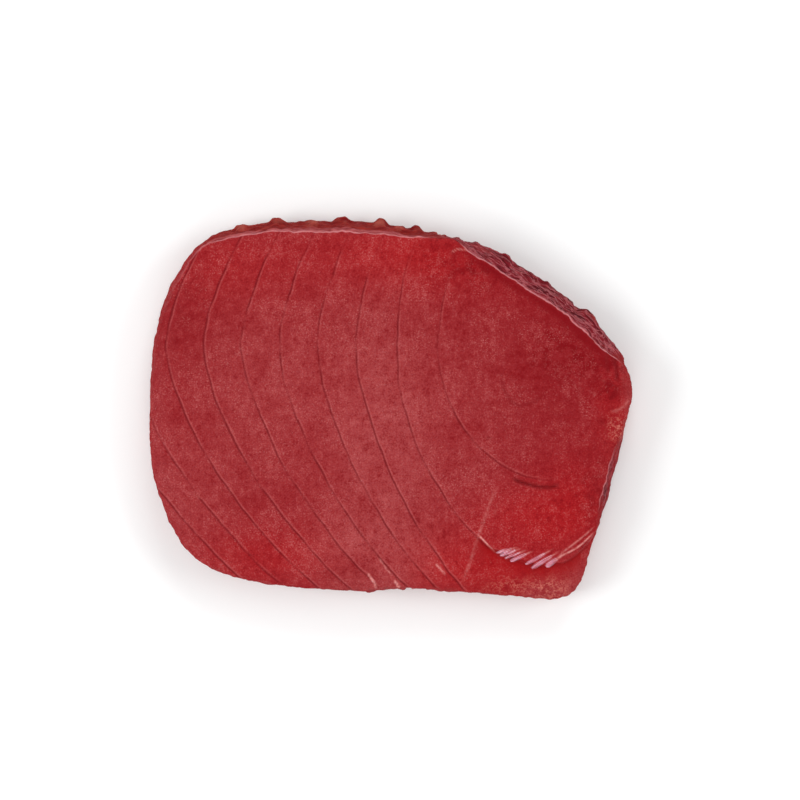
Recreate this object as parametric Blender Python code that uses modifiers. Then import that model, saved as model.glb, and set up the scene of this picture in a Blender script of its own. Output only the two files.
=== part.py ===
# Raw tuna steak: one thick slice across a loin, lying on its lower cut face.
# The upper cut face shows muscle bands that open out from one centre, with a
# shallow crease between neighbours, a short open slit and a torn step near the
# front right corner. The walls lean out from the rim and are widest low down.
# The frame's origin is the middle of the underside, +X runs along the length
# and +Z is up. Sizes below are in millimetres.

import bmesh
import bpy
import numpy as np
from mathutils import Vector, noise

NAME = "tuna_steak"
MM = 0.001

THICKNESS = 16.5

# Widest outline, clockwise from the back edge: x, y, how far the wall leans in
# from there up to the rim, and how far the rim rolls down.
OUTLINE = (
    (-21.0, 48.2, 3.0, 0.8),
    (-6.2, 48.1, 3.2, 0.5),
    (4.9, 46.4, 2.9, 0.4),
    (14.6, 44.1, 0.8, 0.4),
    (21.5, 42.6, 3.3, 0.2),
    (27.5, 40.5, 4.5, 0.2),
    (32.8, 37.0, 4.9, 0.2),
    (45.1, 28.9, 5.0, 0.2),
    (51.2, 23.4, 4.8, 0.3),
    (56.6, 17.2, 3.6, 0.5),
    (59.6, 11.6, 1.2, 1.0),
    (61.4, 4.6, 0.6, 1.5),
    (60.0, -2.0, 0.5, 1.6),
    (58.7, -8.4, 1.2, 1.5),
    (57.0, -15.5, 2.1, 1.2),
    (55.0, -23.0, 2.0, 1.3),
    (52.5, -30.5, 0.6, 1.8),
    (50.3, -36.5, 0.4, 2.2),
    (47.8, -44.5, 0.4, 2.8),
    (42.6, -48.2, 0.4, 3.0),
    (28.6, -47.5, 0.4, 2.8),
    (4.0, -45.7, 0.5, 2.0),
    (-10.0, -46.4, 0.5, 2.0),
    (-37.0, -43.6, 0.6, 2.0),
    (-52.0, -36.0, 0.6, 2.0),
    (-60.5, -18.0, 0.8, 1.8),
    (-61.7, 2.0, 1.0, 1.6),
    (-59.0, 25.0, 1.4, 1.4),
    (-50.0, 41.5, 1.8, 1.2),
    (-37.0, 47.0, 2.6, 1.0),
)
SPAN_STEPS = 14
OUTWARD_EASE = 0.6          # how soon the way out turns to the nearest point of the outline

WIDEST_HEIGHT = 0.3         # share of the thickness where the wall is widest
LEAN_END = 1.15             # share where its lean would end, above the rim
FOOT_TUCK = 1.1             # how far the wall turns in again below that
LEAN_REACH = 4.0            # how far in from the wall the lean dies out
LEAN_REACH_GROWTH = 3.0     # and how much further for each mm of lean
ROLL_WIDTH = 9.0            # width of the rolled rim

# Muscle bands: their centre, and how far each crease between two bands lies
# from it to the left, right, front and back.
BAND_CENTRE = (39.3, 16.6)
BAND_LEFT = (0.0, 12.5, 27.6, 38.0, 48.5)
BAND_RIGHT = (0.0, 10.0, 20.5, 25.2, 34.0)
BAND_FRONT = (0.0, 12.5, 34.3, 56.7, 76.5)
BAND_BACK = (0.0, 15.0, 42.0, 62.0, 75.0)
BAND_POWER = (2.0, 2.2, 1.9, 1.85, 1.55)
FURTHER_BANDS = 12          # bands past those, each one step wider
FURTHER_SIDE = 9.6
FURTHER_DEPTH = 3.0

FIRST_CREASE = 2.0          # inside this one only a short arc shows
BAND_CROWN = 0.15           # how far a band stands up between its creases
BAND_CROWN_WIDTH = 3.0
CREASE_DEPTH = 0.3
CREASE_WIDTH = 0.8
CREASE_TURN = -150.0        # degrees: the creases are deepest to the front left of the centre
CREASE_SPAN = 50.0          # and begin to fade this far round from there
CREASE_FADE = 35.0
CREASE_FADED = 0.9
WARP = 0.4                  # how far the bands wander
WARP_SIZE = 12.0

# Open slit just outside the second crease
SLIT_BAND = 2.085
SLIT_MIDDLE = (36.5, -19.6)
SLIT_HALF_LENGTH = 6.3
SLIT_HALF_WIDTH = 0.8
SLIT_DEPTH = 1.6
SLIT_ENDS = 2.2             # how quickly it opens from its ends

# Torn step: outside the third crease the face lies lower, and pointed flakes
# reach over its edge. A flake is its tip x, y, its root x, y and half its width.
STEP_BAND = 3.0
STEP_DROP = 1.3
STEP_WIDTH = 0.8
STEP_START = (18.0, 25.0)   # x where the step begins and is at its full drop
STEP_TOP = (-26.0, -34.0)   # y where it begins and is at its full drop
FLAKES = (
    (26.8, -36.8, 32.2, -35.4, 0.8),
    (29.2, -38.4, 34.6, -36.2, 0.7),
    (33.9, -39.8, 40.2, -36.0, 0.75),
    (35.5, -40.8, 42.2, -36.3, 0.75),
    (39.0, -40.5, 43.6, -36.8, 0.85),
)
FLAKE_SPAN = (25.6, 43.5)   # x between which the edge is drawn back behind them
FLAKE_SPAN_EASE = 2.0
EDGE_DRAWN_BACK = 1.0
FLAKE_TIP_SHARE = 0.3       # share of a flake's length along which its tip widens
FLAKE_ROOT_END = 1.1        # share where its root has closed
FLAKE_ROOT_SHARE = 0.6
FLAKE_EDGE = 0.8

# Small folds of the upper face: height, half width, then the points of each
FOLDS = (
    (-0.3, 0.8, (27.7, 9.6), (28.4, 5.2), (30.4, 1.9), (32.6, 0.9), (35.8, 1.8), (38.4, 3.3)),
    (-0.5, 0.8, (56.4, 15.4), (57.0, 11.0), (57.3, 6.2)),
    (0.3, 0.8, (57.5, 14.0), (58.2, 10.0), (58.4, 5.5)),
    (0.35, 0.8, (55.1, -0.9), (57.0, -0.2), (58.9, 0.8), (60.4, 3.2)),
    (-0.5, 0.8, (23.9, -7.4), (25.3, -7.1)),
    (0.3, 0.8, (44.4, -36.2), (47.7, -34.2), (51.2, -31.2)),
)

SWELL = 0.5                 # slow rise and fall of the upper face
SWELL_SIZE = 32.0
WALL_DEPTH = 3.0            # how far in the rough relief of the walls reaches
CRAG = 0.35
CRAG_SIZE = 4.5
STREAK = 0.2                # ridges that run along the walls
STREAK_LENGTH = 14.0
STREAK_SIZE = 2.2
# Small crags along the back and front walls: x, how far each stands out, half its
# width, and the share of the thickness at which it does. One with a reach below
# zero is a hollow.
BACK_CRAGS = (
    (-38.5, 0.9, 2.4, 0.5), (-29.0, 1.2, 3.0, 0.4), (-20.5, 0.8, 1.8, 0.6), (-12.5, 1.0, 2.6, 0.4),
    (-3.0, 1.4, 2.8, 0.45), (2.3, 0.9, 2.2, 0.6), (6.9, 1.3, 2.3, 0.4), (12.3, 0.5, 1.4, 0.6),
    (16.9, 0.6, 1.3, 0.5), (21.5, 0.4, 1.2, 0.35), (47.6, -0.7, 1.8, 0.4), (51.0, 1.1, 2.8, 0.35),
)
FRONT_CRAGS = (
    (-6.0, 0.4, 1.5, 0.4), (2.1, 0.6, 1.3, 0.5), (4.4, -0.7, 1.1, 0.5), (7.6, -0.3, 1.2, 0.4),
    (13.4, 0.3, 2.0, 0.5),
)
CRAG_SPAN = 0.2             # share of the thickness over which one fades out
CRAG_SLANT = 1.6            # how far they lean along the wall
CRAG_SLANT_SIZE = 5.0

REMESH_SIZE = 0.6
TRIANGLES = 11400
FLOOR_BAND = 0.35           # what lies lower than this is pressed flat
HALVINGS = 24               # of the interval in which a band's number is looked for
SLOPE_STEP = 0.4            # between two places where the band number is compared
SMALLEST_SLOPE = 0.02

FLESH_COLOUR = (0.36, 0.036, 0.038, 1.0)
FLESH_ROUGHNESS = 0.42


def clear_scene():
    for item in list(bpy.data.objects):
        bpy.data.objects.remove(item, do_unlink=True)


def smooth(value):
    held = np.clip(value, 0.0, 1.0)
    return held * held * (3.0 - 2.0 * held)


def closed_spline(points, steps):
    # Smooth closed curve through rows of numbers, each column alike
    rows = np.array(points)
    before, after, beyond = (np.roll(rows, shift, axis=0) for shift in (1, -1, -2))
    curve = []
    for t in np.linspace(0.0, 1.0, steps, endpoint=False):
        curve.append(0.5 * (2.0 * rows + (after - before) * t
                            + (2.0 * before - 5.0 * rows + 4.0 * after - beyond) * t ** 2
                            + (3.0 * rows - before - 3.0 * after + beyond) * t ** 3))
    return np.stack(curve, axis=1).reshape(-1, rows.shape[1])


def noise_at(x, y, z, size, seed):
    # Smooth noise from -1 to 1 for whole arrays of places
    shift = Vector((seed * 17.3, seed * 5.9, seed * 11.1))
    places = np.stack([x, y, z], axis=1) / size
    return np.array([noise.noise(Vector(place) + shift) for place in places])


def nearest_on_outline(x, y, outline):
    # Distance inside the outline, unit outward direction, wall values and the
    # length run along the outline, for each place
    start = outline[:, :2]
    run = np.roll(start, -1, axis=0) - start
    length = np.linalg.norm(run, axis=1)
    run_start = np.concatenate([[0.0], np.cumsum(length)[:-1]])
    outward = np.stack([-run[:, 1], run[:, 0]], axis=1) / length[:, None]
    place = np.stack([x, y], axis=1)
    offset = place[:, None, :] - start[None, :, :]
    along = np.clip((offset * run).sum(axis=2) / length ** 2, 0.0, 1.0)
    gap = offset - along[:, :, None] * run
    best = np.argmin((gap ** 2).sum(axis=2), axis=1)
    row = np.arange(len(x))
    share = along[row, best]
    gap = gap[row, best]
    inside = np.linalg.norm(gap, axis=1) * np.where((gap * outward[best]).sum(axis=1) < 0.0, 1.0, -1.0)
    towards = OUTWARD_EASE * outward[best] - gap * np.sign(inside)[:, None]
    towards /= np.linalg.norm(towards, axis=1)[:, None]
    values = outline[best, 2:] * (1.0 - share)[:, None]
    values += np.roll(outline, -1, axis=0)[best, 2:] * share[:, None]
    return inside, towards, values, run_start[best] + share * length[best], length.sum()


def band_tables():
    extra = np.arange(1, FURTHER_BANDS + 1)
    tables = []
    for reach, step in ((BAND_LEFT, FURTHER_SIDE), (BAND_RIGHT, FURTHER_SIDE),
                        (BAND_FRONT, FURTHER_DEPTH), (BAND_BACK, FURTHER_DEPTH), (BAND_POWER, 0.0)):
        tables.append(np.concatenate([reach, reach[-1] + step * extra]))
    return tables


def band_number(x, y):
    # Number of the band at each place: whole numbers lie on the creases
    left, right, front, back, power = band_tables()
    count = np.arange(len(left))
    dx = x - BAND_CENTRE[0]
    dy = y - BAND_CENTRE[1]
    side = np.where(dx < 0.0, 0, 1)
    depth = np.where(dy < 0.0, 0, 1)
    low = np.full(len(x), 0.001)
    high = np.full(len(x), float(count[-1]))
    for _ in range(HALVINGS):
        middle = 0.5 * (low + high)
        reach_x = np.choose(side, [np.interp(middle, count, left), np.interp(middle, count, right)])
        reach_y = np.choose(depth, [np.interp(middle, count, front), np.interp(middle, count, back)])
        bend = np.interp(middle, count, power)
        outside = np.abs(dx / reach_x) ** bend + np.abs(dy / reach_y) ** bend > 1.0
        low = np.where(outside, middle, low)
        high = np.where(outside, high, middle)
    return 0.5 * (low + high)


def band_field(x, y):
    # Band number and the width of a band in millimetres at each place
    level = np.zeros(len(x))
    warp_x = x + WARP * noise_at(x, y, level, WARP_SIZE, 1)
    warp_y = y + WARP * noise_at(x, y, level, WARP_SIZE, 2)
    number = band_number(warp_x, warp_y)
    slope_x = (band_number(warp_x + SLOPE_STEP, warp_y) - number) / SLOPE_STEP
    slope_y = (band_number(warp_x, warp_y + SLOPE_STEP) - number) / SLOPE_STEP
    return number, 1.0 / np.maximum(np.hypot(slope_x, slope_y), SMALLEST_SLOPE)


def crease_strength(x, y):
    # Creases show on the left and front of the centre and fade behind it
    turn = np.degrees(np.arctan2(y - BAND_CENTRE[1], x - BAND_CENTRE[0]))
    away = np.abs((turn - CREASE_TURN + 180.0) % 360.0 - 180.0)
    return 1.0 - CREASE_FADED * smooth((away - CREASE_SPAN) / CREASE_FADE)


def flake_cover(x, y):
    # 1 on a pointed flake and 0 beside it
    cover = np.zeros(len(x))
    for tip_x, tip_y, root_x, root_y, half_width in FLAKES:
        run_x = root_x - tip_x
        run_y = root_y - tip_y
        length = np.hypot(run_x, run_y)
        along = ((x - tip_x) * run_x + (y - tip_y) * run_y) / length ** 2
        beside = np.abs((x - tip_x) * run_y - (y - tip_y) * run_x) / length
        shape = np.sqrt(np.clip(along / FLAKE_TIP_SHARE, 0.0, 1.0))
        shape *= smooth((FLAKE_ROOT_END - along) / FLAKE_ROOT_SHARE)
        cover = np.maximum(cover, smooth(0.5 + (half_width * shape - beside) / FLAKE_EDGE) * (shape > 0.0))
    return cover


def step_level(x, y, number, width):
    # 0 above the torn step and 1 below it
    begun = smooth((x - STEP_START[0]) / (STEP_START[1] - STEP_START[0]))
    begun *= smooth((y - STEP_TOP[0]) / (STEP_TOP[1] - STEP_TOP[0]))
    flaked = smooth((x - FLAKE_SPAN[0]) / FLAKE_SPAN_EASE) * smooth((FLAKE_SPAN[1] - x) / FLAKE_SPAN_EASE)
    edge_gap = (number - STEP_BAND) * width + EDGE_DRAWN_BACK * flaked
    return begun * smooth(0.5 + edge_gap / STEP_WIDTH) * (1.0 - flake_cover(x, y))


def fold_heights(x, y):
    # Height added by the small folds, each along its own line
    height = np.zeros(len(x))
    for rise, half_width, *line in FOLDS:
        nearest = np.full(len(x), np.inf)
        for (from_x, from_y), (to_x, to_y) in zip(line, line[1:]):
            run_x = to_x - from_x
            run_y = to_y - from_y
            share = np.clip(((x - from_x) * run_x + (y - from_y) * run_y) / (run_x ** 2 + run_y ** 2), 0.0, 1.0)
            gap = np.hypot(x - from_x - share * run_x, y - from_y - share * run_y)
            nearest = np.minimum(nearest, gap)
        height += rise * np.exp(-(nearest / half_width) ** 2)
    return height


def face_relief(x, y):
    # Height added to the upper face by bands, folds, slit, torn step and slow swell
    number, width = band_field(x, y)
    crease_gap = np.abs(number - np.round(number)) * width
    strength = crease_strength(x, y) * (np.round(number) >= FIRST_CREASE)
    height = BAND_CROWN * strength * (1.0 - np.exp(-(crease_gap / BAND_CROWN_WIDTH) ** 2))
    height -= CREASE_DEPTH * strength * np.exp(-(crease_gap / CREASE_WIDTH) ** 2)
    slit_along = (x - SLIT_MIDDLE[0]) / SLIT_HALF_LENGTH
    slit_across = np.abs(number - SLIT_BAND) * width / SLIT_HALF_WIDTH
    opened = smooth(SLIT_ENDS * (1.0 - slit_along ** 2)) * (y < BAND_CENTRE[1])
    height -= SLIT_DEPTH * opened * np.exp(-slit_across ** 2)
    height -= STEP_DROP * step_level(x, y, number, width)
    height += fold_heights(x, y)
    return height + SWELL * noise_at(x, y, np.zeros(len(x)), SWELL_SIZE, 3)


def shape_steak(points):
    # Moves the points of a flat slab, given in millimetres, to the steak's form
    x, y, z = points.T.copy()
    outline = closed_spline(OUTLINE, SPAN_STEPS)
    inside, outward, values, along, around = nearest_on_outline(x, y, outline)
    lean, roll = values.T
    height = np.clip(z / THICKNESS, 0.0, 1.0)

    lean_span = LEAN_END - WIDEST_HEIGHT
    lift = smooth((height - WIDEST_HEIGHT) / lean_span) / smooth((1.0 - WIDEST_HEIGHT) / lean_span)
    foot = np.clip(1.0 - height / WIDEST_HEIGHT, 0.0, 1.0) ** 2
    reach = LEAN_REACH + LEAN_REACH_GROWTH * lean
    fade = np.clip(1.0 - inside / reach, 0.0, 1.0) ** 2
    inward = (lean * lift + FOOT_TUCK * foot) * fade

    turn = along / around * 2.0 * np.pi
    radius = around / (2.0 * np.pi)
    wall_x = np.cos(turn) * radius
    wall_y = np.sin(turn) * radius
    near_wall = np.clip(1.0 - inside / WALL_DEPTH, 0.0, 1.0)
    rough = CRAG * noise_at(wall_x, wall_y, z, CRAG_SIZE, 4)
    streaks = STREAK * noise_at(wall_x, wall_y, z * STREAK_LENGTH / STREAK_SIZE, STREAK_LENGTH, 5)
    peaks = np.zeros(len(x))
    slanted = x + CRAG_SLANT * noise_at(wall_x, wall_y, z, CRAG_SLANT_SIZE, 12)
    for side, crags in ((y > 0.0, BACK_CRAGS), (y < 0.0, FRONT_CRAGS)):
        for crag_x, reach_out, half_width, crag_height in crags:
            rise = np.clip(1.0 - np.abs(slanted - crag_x) / half_width, 0.0, 1.0)
            peaks += reach_out * rise * np.exp(-((height - crag_height) / CRAG_SPAN) ** 2) * side
    inward -= near_wall * (rough + streaks + peaks) * (1.0 - foot)

    x -= outward[:, 0] * inward
    y -= outward[:, 1] * inward
    rolled = roll * np.clip(1.0 - inside / ROLL_WIDTH, 0.0, 1.0) ** 2
    z += height ** 2 * (face_relief(x, y) - rolled)
    z[z < FLOOR_BAND] = 0.0
    return np.stack([x, y, z], axis=1)


def make_slab():
    # Straight slab with the steak's widest outline, as one closed mesh
    curve = bpy.data.curves.new(NAME + "_outline", "CURVE")
    curve.dimensions = "2D"
    curve.fill_mode = "BOTH"
    curve.extrude = 0.5 * THICKNESS * MM
    outline = closed_spline(OUTLINE, SPAN_STEPS)[:, :2] * MM
    spline = curve.splines.new("POLY")
    spline.points.add(len(outline) - 1)
    spline.use_cyclic_u = True
    for point, place in zip(spline.points, outline):
        point.co = (place[0], place[1], 0.0, 1.0)
    flat = bpy.data.objects.new(NAME + "_outline", curve)
    bpy.context.scene.collection.objects.link(flat)
    bpy.context.view_layer.update()
    mesh = bpy.data.meshes.new_from_object(flat.evaluated_get(bpy.context.evaluated_depsgraph_get()))
    bpy.data.objects.remove(flat, do_unlink=True)
    work = bmesh.new()
    work.from_mesh(mesh)
    bmesh.ops.remove_doubles(work, verts=work.verts, dist=0.01 * MM)
    bmesh.ops.translate(work, verts=work.verts, vec=(0.0, 0.0, 0.5 * THICKNESS * MM))
    bmesh.ops.recalc_face_normals(work, faces=work.faces)
    work.to_mesh(mesh)
    work.free()
    mesh.name = NAME
    return mesh


def apply_modifiers(steak):
    # Replaces the object's mesh by what its modifiers make of it
    bpy.context.view_layer.update()
    made = bpy.data.meshes.new_from_object(steak.evaluated_get(bpy.context.evaluated_depsgraph_get()))
    old = steak.data
    steak.modifiers.clear()
    steak.data = made
    bpy.data.meshes.remove(old)
    made.name = NAME


def read_points(mesh):
    flat = np.empty(len(mesh.vertices) * 3)
    mesh.vertices.foreach_get("co", flat)
    return flat.reshape(-1, 3) / MM


def write_points(mesh, points):
    mesh.vertices.foreach_set("co", (points * MM).ravel())
    mesh.update()


def flesh_material():
    material = bpy.data.materials.new("raw_tuna_flesh")
    material.use_nodes = True
    shader = material.node_tree.nodes["Principled BSDF"]
    shader.inputs["Base Color"].default_value = FLESH_COLOUR
    shader.inputs["Roughness"].default_value = FLESH_ROUGHNESS
    shader.inputs["Metallic"].default_value = 0.0
    return material


def make_steak():
    steak = bpy.data.objects.new(NAME, make_slab())
    group = bpy.data.collections.new("raw_tuna_steak")
    bpy.context.scene.collection.children.link(group)
    group.objects.link(steak)

    remesh = steak.modifiers.new("even grid", "REMESH")
    remesh.mode = "VOXEL"
    remesh.voxel_size = REMESH_SIZE * MM
    apply_modifiers(steak)
    write_points(steak.data, shape_steak(read_points(steak.data)))

    slim = steak.modifiers.new("fewer facets", "DECIMATE")
    slim.use_collapse_triangulate = True
    slim.ratio = TRIANGLES / (2.0 * len(steak.data.polygons))
    apply_modifiers(steak)

    points = read_points(steak.data)
    points[points[:, 2] < FLOOR_BAND, 2] = 0.0
    points[:, :2] -= 0.5 * (points.min(axis=0) + points.max(axis=0))[:2]
    write_points(steak.data, points)
    steak.data.materials.append(flesh_material())
    steak.data.shade_smooth()
    return steak


clear_scene()
make_steak()
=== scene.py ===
import math

import bmesh
import bpy
import numpy as np
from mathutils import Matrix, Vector, noise


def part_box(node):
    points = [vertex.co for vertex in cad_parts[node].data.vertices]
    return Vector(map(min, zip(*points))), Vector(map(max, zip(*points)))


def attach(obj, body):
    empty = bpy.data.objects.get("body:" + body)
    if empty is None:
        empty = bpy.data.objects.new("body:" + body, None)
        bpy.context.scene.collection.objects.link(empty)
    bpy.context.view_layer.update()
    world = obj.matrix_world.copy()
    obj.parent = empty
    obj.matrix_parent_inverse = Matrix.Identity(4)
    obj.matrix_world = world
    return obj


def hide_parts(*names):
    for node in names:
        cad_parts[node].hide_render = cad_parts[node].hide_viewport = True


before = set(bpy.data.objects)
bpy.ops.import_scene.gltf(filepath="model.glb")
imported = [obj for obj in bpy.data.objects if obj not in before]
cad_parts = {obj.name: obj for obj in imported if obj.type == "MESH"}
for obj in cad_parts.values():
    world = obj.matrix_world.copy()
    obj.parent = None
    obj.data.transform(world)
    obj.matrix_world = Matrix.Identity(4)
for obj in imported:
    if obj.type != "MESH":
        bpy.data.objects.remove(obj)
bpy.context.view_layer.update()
mm = 0.001

# All lengths below are in millimetres unless a note says otherwise

# Widest outline, clockwise from the back edge: x, y, how far the wall leans in
# from there up to the rim, and how far the rim rolls down
slab = {
    "thickness": 16.5,
    "outline": (
        (-21.0, 48.2, 3.0, 0.8),
        (-6.2, 48.1, 3.2, 0.5),
        (4.9, 46.4, 2.9, 0.4),
        (14.6, 44.1, 0.8, 0.4),
        (21.5, 42.6, 3.3, 0.2),
        (27.5, 40.4, 4.3, 0.2),
        (32.8, 36.8, 4.4, 0.2),
        (45.1, 28.6, 4.3, 0.2),
        (51.2, 23.3, 4.2, 0.3),
        (56.6, 17.2, 3.6, 0.5),
        (59.6, 11.6, 1.2, 1.0),
        (61.4, 4.6, 0.6, 1.5),
        (60.0, -2.0, 0.5, 1.6),
        (58.7, -8.4, 1.2, 1.5),
        (57.0, -15.5, 2.1, 1.2),
        (55.0, -23.0, 2.0, 1.3),
        (52.5, -30.5, 0.6, 1.8),
        (50.3, -36.5, 0.4, 2.2),
        (47.8, -44.5, 0.4, 2.8),
        (42.6, -48.2, 0.4, 3.0),
        (28.6, -47.5, 0.4, 2.8),
        (4.0, -45.7, 0.5, 2.0),
        (-10.0, -46.4, 0.5, 2.0),
        (-37.0, -43.6, 0.6, 2.0),
        (-52.0, -36.0, 0.6, 2.0),
        (-60.5, -18.0, 0.8, 1.8),
        (-61.7, 2.0, 1.0, 1.6),
        (-59.0, 25.0, 1.4, 1.4),
        (-50.0, 41.5, 1.8, 1.2),
        (-37.0, 47.0, 2.6, 1.0),
    ),
    "spanSteps": 14,
    "outwardEase": 0.6,     # how soon the way out turns to the nearest point of the outline
    "gridSize": 0.95,       # of the even grid before the shown faces are split
    "coarseBelow": 1.2,     # height under which they stay whole
    "widestHeight": 0.3,    # share of the thickness
    "rimHeight": 1.15,      # where the lean would end, as a share too
    "footTuck": 1.1,
    "leanReach": 4.0,
    "leanReachGrowth": 3.0,
    "rollWidth": 9.0,
    "swell": 0.5,
    "swellSize": 32.0,
    "bumps": ((0.07, 3.4, 9), (0.05, 1.5, 10)),   # of the upper face: height, size, seed
    "beadHeight": 0.12,     # thin bead along a leaning rim
    "beadPlace": 0.1,
    "beadWidth": 0.5,
    "beadLean": (1.8, 3.3),
    "floorBand": 0.35,
}

# Muscle bands: where each crease between two of them lies from their centre
bands = {
    "centre": (39.3, 16.6),
    "left": (0.0, 12.5, 27.6, 38.0, 48.5),
    "right": (0.0, 10.0, 20.5, 25.2, 34.0),
    "front": (0.0, 12.5, 34.3, 56.7, 76.5),
    "back": (0.0, 15.0, 42.0, 62.0, 75.0),
    "power": (2.0, 2.2, 1.9, 1.85, 1.55),
    "further": 12,
    "furtherSide": 9.6,
    "furtherDepth": 3.0,
    "firstCrease": 2.0,     # inside this one only a short arc shows
    "crown": 0.06,
    "crownWidth": 3.0,
    "creaseDepth": 0.11,
    "creaseWidth": 0.36,
    "lipHeight": 0.02,
    "lipPlace": 0.9,
    "lipWidth": 0.5,
    "turn": -150.0,         # degrees: creases are deepest to the front left of the centre
    "turnSpan": 40.0,       # and begin to fade this far round from there
    "turnFade": 30.0,
    "faded": 0.93,
    "warp": 0.4,
    "warpSize": 12.0,
    "quiver": 0.28,         # smaller wandering of the creases
    "quiverSize": 4.5,
}

# Short open slit just outside the second crease
slit = {
    "band": 2.085,
    "middle": (36.5, -19.6),
    "halfLength": 6.3,
    "halfWidth": 0.45,
    "depth": 0.8,
    "ends": 2.2,            # the larger, the blunter
}

# Torn step near the front right corner, with pointed flakes that reach over it:
# tip x, y, root x, y, half width
step = {
    "band": 3.0,
    "drop": 1.1,
    "width": 0.5,
    "start": (18.0, 25.0),
    "top": (-26.0, -34.0),
    "flakes": (
        (26.6, -36.4, 31.8, -34.8, 0.3),
        (27.5, -37.0, 32.8, -35.2, 0.34),
        (28.7, -37.7, 34.1, -35.6, 0.26),
        (30.0, -38.5, 35.8, -35.8, 0.38),
        (33.9, -39.3, 40.8, -35.3, 0.34),
        (35.4, -40.3, 42.6, -35.8, 0.44),
        (39.0, -39.9, 43.0, -36.9, 0.56),
    ),
    "tipShare": 0.14,       # share of a flake's length along which its tip widens
    "rootEnd": 1.1,
    "rootShare": 0.8,
    # the flakes' pale colour, pale edge and pale root line are painted glints
    "paleEnd": 0.85,        # where its pale colour has faded out
    "paleShare": 0.7,
    "rootLine": 0.24,       # half width of the pale line that goes on from there
    "rootLineSpan": (0.35, 0.55, 0.75, 1.15),
    "rootLineHeight": 0.08,
    "rootLineGlint": 0.5,
    "flakeEdge": 0.28,
    "edgeLine": 0.13,
    "edgeEnd": 0.7,         # share of its length where a flake's pale edge ends
    "flakeSpan": (25.6, 43.5),
    "spanEase": 2.0,
    "drawnBack": 0.7,
    "richReach": 3.2,       # how far the deeper red goes on below the step
    "richEnd": 48.0,
    "fineBox": (20.0, 54.0, -44.0, -28.0),  # x and y where the grid is finest
    "fineAbove": 14.0,
}

# Relief of the walls, and small crags along the back and front ones: x, reach,
# half width, height as a share of the thickness
walls = {
    "crag": 0.35,
    "cragSize": 4.5,
    "streak": 0.2,
    "streakLength": 14.0,
    "streakSize": 2.2,
    "rough": 0.3,
    "roughSize": 1.5,
    "backCrags": (
        (-38.5, 0.9, 2.4, 0.5), (-29.0, 1.2, 3.0, 0.4), (-20.5, 0.8, 1.8, 0.6), (-12.5, 1.0, 2.6, 0.4),
        (-3.0, 1.4, 2.6, 0.45), (1.9, 0.7, 1.6, 0.6), (6.5, 1.1, 1.9, 0.4), (10.2, 0.6, 1.1, 0.5),
        (12.6, 0.5, 1.2, 0.6), (16.9, 0.6, 1.3, 0.5), (21.5, 0.5, 1.2, 0.35), (30.1, 0.5, 1.3, 0.4),
        (35.0, 0.3, 1.5, 0.5), (40.1, 0.5, 1.4, 0.4), (47.6, -0.7, 1.8, 0.4), (51.0, 1.1, 2.8, 0.35),
        (58.1, 0.7, 1.1, 0.55),
    ),
    "frontCrags": (
        (-6.0, 0.4, 1.5, 0.4), (2.1, 0.6, 1.3, 0.5), (4.4, -0.7, 1.1, 0.5), (7.6, -0.3, 1.2, 0.4),
        (13.4, 0.3, 2.0, 0.5),
    ),
    "cragSpan": 0.2,        # share of the thickness over which one fades out
    "cragSlant": 1.6,       # how far and how finely their ridges wander
    "cragSlantSize": 5.0,
    "cragBlunt": 1.35,
    "depth": 3.0,           # how far in the relief of the walls reaches
    "leanShow": (1.2, 2.7), # lean from which a rim is pale
    "rimDepth": (3.6, 1.5), # how far down the pale rim comes, behind and on the leaning side
    "rimDepthTurn": (8.0, 22.0),
    "rimShade": 1.1,        # dark band inside the leaning rim
    "rimShadeLean": (2.0, 4.0),
    "rimShadeStart": (6.0, 14.0),
    "rimShadePlace": 2.0,
    "rimShadeWidth": 2.2,
    "backSide": (8.0, 20.0),    # where the deep red wall behind sets in
    "backStart": (-54.0, -40.0),
    "tanEnd": 56.0,
}

# Thin membrane: each pair is where it is 0 and where it is 1
membrane = {
    "backStart": (3.0, 27.0),
    "backSide": (10.0, 18.0),
    "knob": (51.5, 24.0, 3.0),  # knob of bare flesh: x, y, reach
    "knobHeight": (0.8, 0.4),
    "knobBare": 0.5,
    "rightSide": (44.0, 50.0),
    "rightBack": (-1.0, -16.0),
    "rightFront": (-34.0, -20.0),
    "rightAmount": 0.62,
}

# How every stroke begins and ends
strokeLook = {
    "endGrowth": 4.0,
    "endShow": 0.3,
    "faceHeight": (0.62, 0.92),     # shares of the thickness between which it sets in
}

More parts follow.
